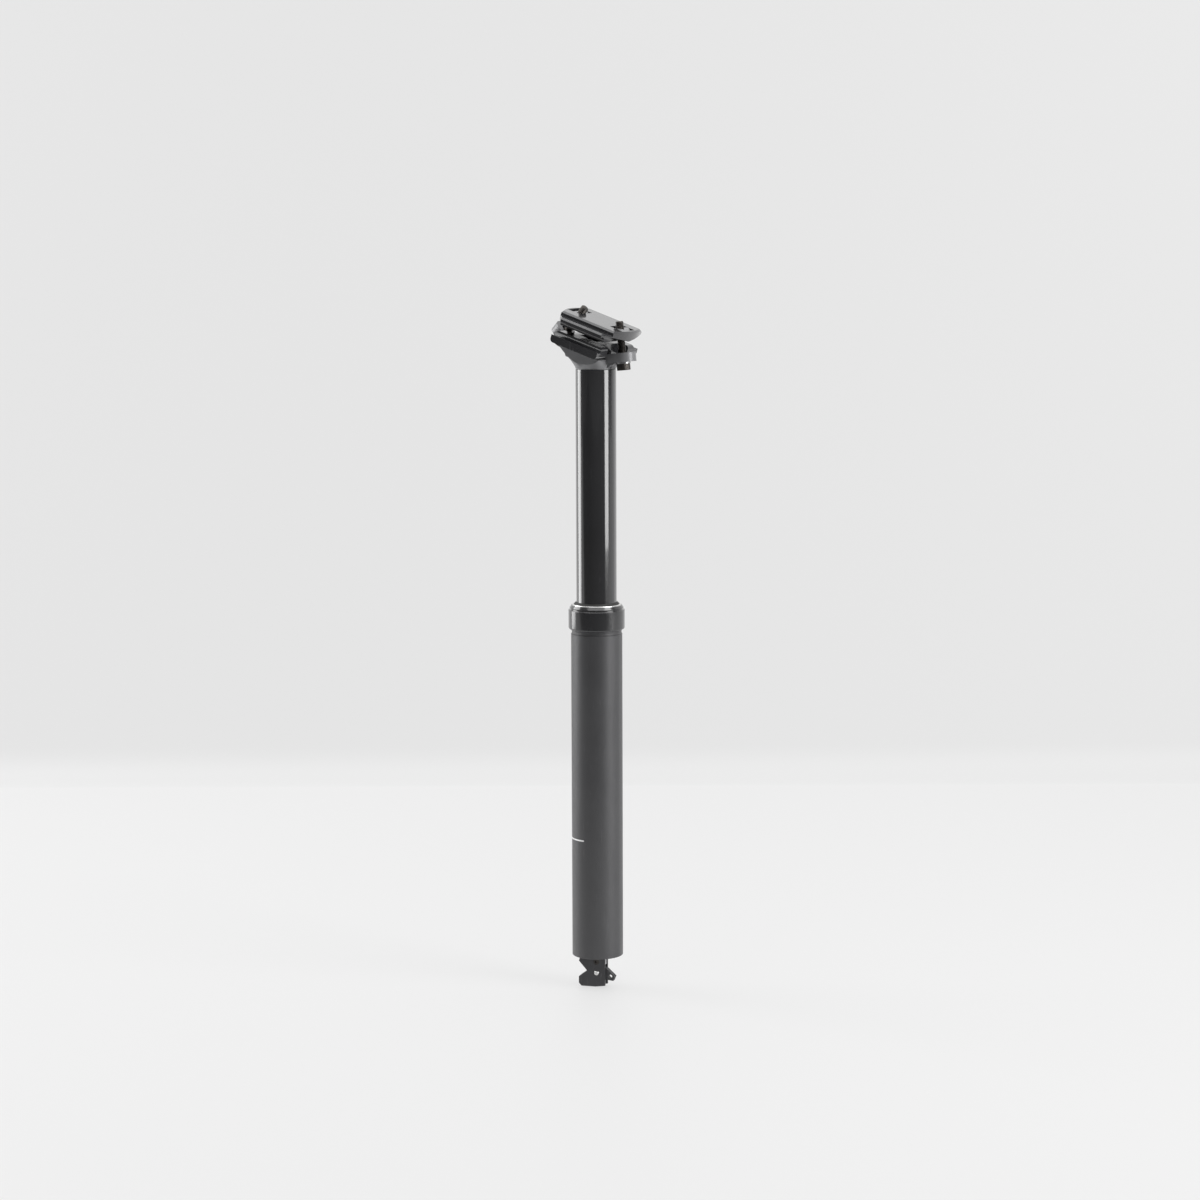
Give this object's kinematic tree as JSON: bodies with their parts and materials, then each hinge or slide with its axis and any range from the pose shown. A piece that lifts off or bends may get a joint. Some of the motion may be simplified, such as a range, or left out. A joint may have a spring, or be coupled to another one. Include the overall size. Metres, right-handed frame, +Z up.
{
  "type": "height-adjustable bicycle seatpost",
  "caption": "Telescoping dropper seatpost: slim polished upper tube in a thicker tube with collar, twin-bolt rail clamp and a cable lever at the foot",
  "frame": {"origin": "on the post's axis at the underside of the collar, where the lower tube's full-diameter length ends", "axes": "+Z up along the post, +X to the front of the bicycle, +Y to its left; post at full height, saddle clamp open"},
  "size_m": [0.0577, 0.048, 0.4237],
  "materials": {
    "anodised_tube": "polished black anodised",
    "blasted_tube": "bead-blasted dark grey anodised",
    "gloss_collar": "gloss black anodised",
    "bright_ring": "bright turned",
    "seal_rubber": "matte",
    "bearing_plastic": "moulded",
    "key_brass": "turned",
    "forged_head": "satin dark grey anodised",
    "clamp_black": "gloss black anodised",
    "bolt_steel": "black oxide",
    "nut_steel": "zinc plated",
    "pin_steel": "ground",
    "inner_steel": "phosphated",
    "inner_aluminium": "machined",
    "actuator_black": "matte anodised"
  },
  "bodies": {
    "lower_post": {"outer_tube": "blasted_tube", "collar": "gloss_collar", "collar_o_ring": "seal_rubber", "wiper_ring": "bright_ring", "wiper_seal": "seal_rubber", "upper_bush": "bearing_plastic", "tube_end_plug": "inner_aluminium", "plug_retaining_ring": "inner_steel", "cartridge_shaft": "pin_steel", "shaft_lock_nut": "inner_steel", "main_piston": "inner_aluminium", "piston_seal": "seal_rubber", "piston_nut": "inner_steel", "actuator_bracket": "actuator_black", "bracket_set_screws": "bolt_steel", "lever_pivot_pin": "pin_steel"},
    "upper_post": {"stanchion": "anodised_tube", "head": "forged_head", "lower_bush": "bearing_plastic", "guide_keys": "key_brass", "cartridge_tube": "inner_aluminium", "cartridge_cap": "inner_aluminium", "shaft_gland": "inner_aluminium", "shaft_seal": "seal_rubber", "cartridge_retaining_ring": "inner_steel"},
    "gas_divider": {"floating_piston": "inner_aluminium", "floating_piston_seal": "seal_rubber"},
    "cradle": {"lower_cradle": "clamp_black"},
    "yoke": {"upper_clamp": "clamp_black"},
    "nut_front": {"barrel_nut_front": "nut_steel"},
    "nut_rear": {"barrel_nut_rear": "nut_steel"},
    "washer_front": {"seat_washer_front": "nut_steel"},
    "washer_rear": {"seat_washer_rear": "nut_steel"},
    "bolt_front": {"clamp_bolt_front": "bolt_steel"},
    "bolt_rear": {"clamp_bolt_rear": "bolt_steel"},
    "lever": {"actuator_lever": "actuator_black"},
    "valve_rod": {"release_rod": "pin_steel"}
  },
  "joints": [
    {"name": "dropper_slide", "type": "slide", "parent": "lower_post", "child": "upper_post", "axis": [0, 0, 1], "range_m": [-0.13, 0], "stiffness_N_per_m": 350, "springref_m": 0.4},
    {"name": "gas_divider_slide", "type": "slide", "parent": "upper_post", "child": "gas_divider", "axis": [0, 0, 1], "range_m": [0, 0.0263]},
    {"name": "saddle_tilt", "type": "hinge", "parent": "upper_post", "child": "cradle", "pos_m": [-0.00742, 0, 0.15557], "axis": [0, 1, 0], "range_deg": [-5, 5]},
    {"name": "clamp_close", "type": "slide", "parent": "cradle", "child": "yoke", "axis": [-0.309, 0, -0.9511], "range_m": [0, 0.0035]},
    {"name": "nut_front_slide", "type": "slide", "parent": "yoke", "child": "nut_front", "axis": [0.9511, 0, -0.309], "range_m": [0, 0.00156]},
    {"name": "nut_rear_slide", "type": "slide", "parent": "yoke", "child": "nut_rear", "axis": [-0.9511, 0, 0.309], "range_m": [0, 0.00156]},
    {"name": "washer_front_slide", "type": "slide", "parent": "cradle", "child": "washer_front", "axis": [-0.1045, 0, 0.9945], "range_m": [-0.00245, 0.00245]},
    {"name": "washer_rear_slide", "type": "slide", "parent": "cradle", "child": "washer_rear", "axis": [0.6691, 0, 0.7431], "range_m": [-0.00245, 0.00245]},
    {"name": "bolt_front_turn", "type": "hinge", "parent": "washer_front", "child": "bolt_front", "pos_m": [0.02003, 0, 0.15846], "axis": [-0.1045, 0, 0.9945], "continuous": true},
    {"name": "bolt_rear_turn", "type": "hinge", "parent": "washer_rear", "child": "bolt_rear", "pos_m": [-0.02793, 0, 0.17404], "axis": [0.6691, 0, 0.7431], "continuous": true},
    {"name": "actuator_pull", "type": "hinge", "parent": "lower_post", "child": "lever", "pos_m": [0, 0, -0.2166], "axis": [-0.2588, 0.9659, 0], "range_deg": [0, 18], "stiffness_Nm_per_rad": 0.2, "springref_deg": -17.19},
    {"name": "valve_rod_lift", "type": "slide", "parent": "lower_post", "child": "valve_rod", "axis": [0, 0, 1], "range_m": [0, 0.001], "stiffness_N_per_m": 300, "springref_m": -0.001}
  ],
  "couplings": [
    {"joint": "gas_divider_slide", "follows": "dropper_slide", "ratio": -0.20199},
    {"joint": "nut_front_slide", "follows": "clamp_close", "ratio": 0.44518},
    {"joint": "nut_rear_slide", "follows": "clamp_close", "ratio": 0.44518},
    {"joint": "washer_front_slide", "follows": "saddle_tilt", "m_per_rad": 0.027597},
    {"joint": "washer_rear_slide", "follows": "saddle_tilt", "m_per_rad": -0.027597}
  ]
}
